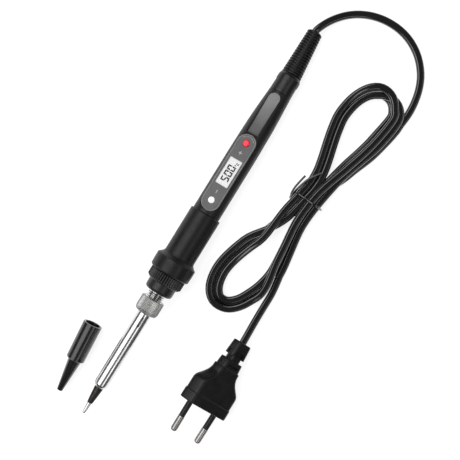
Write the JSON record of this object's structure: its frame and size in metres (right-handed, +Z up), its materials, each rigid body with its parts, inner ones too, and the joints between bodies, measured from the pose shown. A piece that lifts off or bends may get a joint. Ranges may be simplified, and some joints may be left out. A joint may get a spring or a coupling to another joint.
{
  "type": "soldering iron",
  "caption": "Temperature-controlled pencil soldering iron with display, tied flat mains cord, two-pin plug and loose tip cap.",
  "frame": {"origin": "on the surface that the iron lies on, under the middle of the iron and its cap, cord and plug left out", "axes": "+X along the iron from its tip towards its cord, +Z up, +Y towards the cap"},
  "size_m": [0.283, 0.1, 0.0251],
  "materials": {
    "tip_iron": "satin",
    "barrel_steel": "polished",
    "nut_steel": "satin",
    "nipple_steel": "polished",
    "ceramic_white": "matte",
    "collar_black": "satin",
    "grip_rubber": "matte",
    "handle_plastic": "fine texture",
    "panel_grey": "satin",
    "label_grey": "satin",
    "display_glass": "clear",
    "display_cell": "gloss",
    "bare_metal": "bright",
    "button_white": "gloss",
    "button_red": "gloss",
    "dark_plastic": "matte",
    "switch_grey": "satin",
    "board_green": "gloss",
    "capacitor_orange": "gloss",
    "lead_sleeve": "woven",
    "core_brown": "gloss",
    "cord_black": "gloss",
    "plug_black": "satin",
    "pin_nickel": "satin",
    "cap_black": "gloss"
  },
  "bodies": {
    "handle": {"handle_top_shell": "handle_plastic", "handle_bottom_shell": "handle_plastic", "rubber_grip": "grip_rubber", "front_panel": "panel_grey", "display_window": "display_glass", "display_cell": "display_cell", "display_pins": "bare_metal", "minus_switch": "switch_grey", "plus_switch": "switch_grey", "label_inlay": "label_grey", "circuit_board": "board_green", "control_chip": "dark_plastic", "power_triac": "dark_plastic", "film_capacitor": "capacitor_orange", "heater_leads": "lead_sleeve", "cable_clamp": "dark_plastic", "clamp_screws": "bare_metal", "cord_cores": "core_brown", "rear_collar": "collar_black", "strain_relief_boot": "grip_rubber", "inner_cord": "cord_black", "cord_from_handle": "cord_black", "cord_hank": "cord_black", "cord_to_plug": "cord_black", "twist_tie": "cord_black", "plug_body": "plug_black", "plug_pins": "pin_nickel", "pin_sleeves": "plug_black"},
    "carrier": {"threaded_nipple": "nipple_steel", "ceramic_heater": "ceramic_white", "heater_bush": "ceramic_white"},
    "collar": {"locking_collar": "collar_black"},
    "barrel": {"barrel_tube": "barrel_steel", "soldering_tip": "tip_iron"},
    "nut": {"barrel_nut": "nut_steel"},
    "minus_key": {"minus_button": "button_white", "minus_plunger": "dark_plastic"},
    "plus_key": {"plus_button": "button_red", "plus_plunger": "dark_plastic"},
    "cap": {"protective_cap": "cap_black"}
  },
  "joints": [
    {"name": "carrier_slide", "type": "slide", "parent": "handle", "child": "carrier", "axis": [-0.999, 0, 0.0442], "range_m": [0, 0.006]},
    {"name": "collar_turn", "type": "hinge", "parent": "carrier", "child": "collar", "pos_m": [-0.04081, -0.00809, 0.01286], "axis": [-0.999, 0, 0.0442], "range_deg": [0, 1440]},
    {"name": "barrel_slide", "type": "slide", "parent": "carrier", "child": "barrel", "axis": [-0.999, 0, 0.0442], "range_m": [0, 0.005]},
    {"name": "nut_turn", "type": "hinge", "parent": "barrel", "child": "nut", "pos_m": [-0.0553, -0.00809, 0.0135], "axis": [-0.999, 0, 0.0442], "range_deg": [0, 1800]},
    {"name": "minus_press", "type": "slide", "parent": "handle", "child": "minus_key", "axis": [-0.0433, -0.2079, -0.9772], "range_m": [0, 0.0004], "stiffness_N_per_m": 2500},
    {"name": "plus_press", "type": "slide", "parent": "handle", "child": "plus_key", "axis": [-0.0433, -0.2079, -0.9772], "range_m": [0, 0.0004], "stiffness_N_per_m": 2500},
    {"name": "cap_lift", "type": "slide", "parent": "handle", "child": "cap", "axis": [0, 0, 1], "range_m": [0, 0.06]}
  ],
  "couplings": [
    {"joint": "collar_turn", "follows": "carrier_slide", "rad_per_m": 4188.8},
    {"joint": "nut_turn", "follows": "barrel_slide", "rad_per_m": 6283.2}
  ]
}
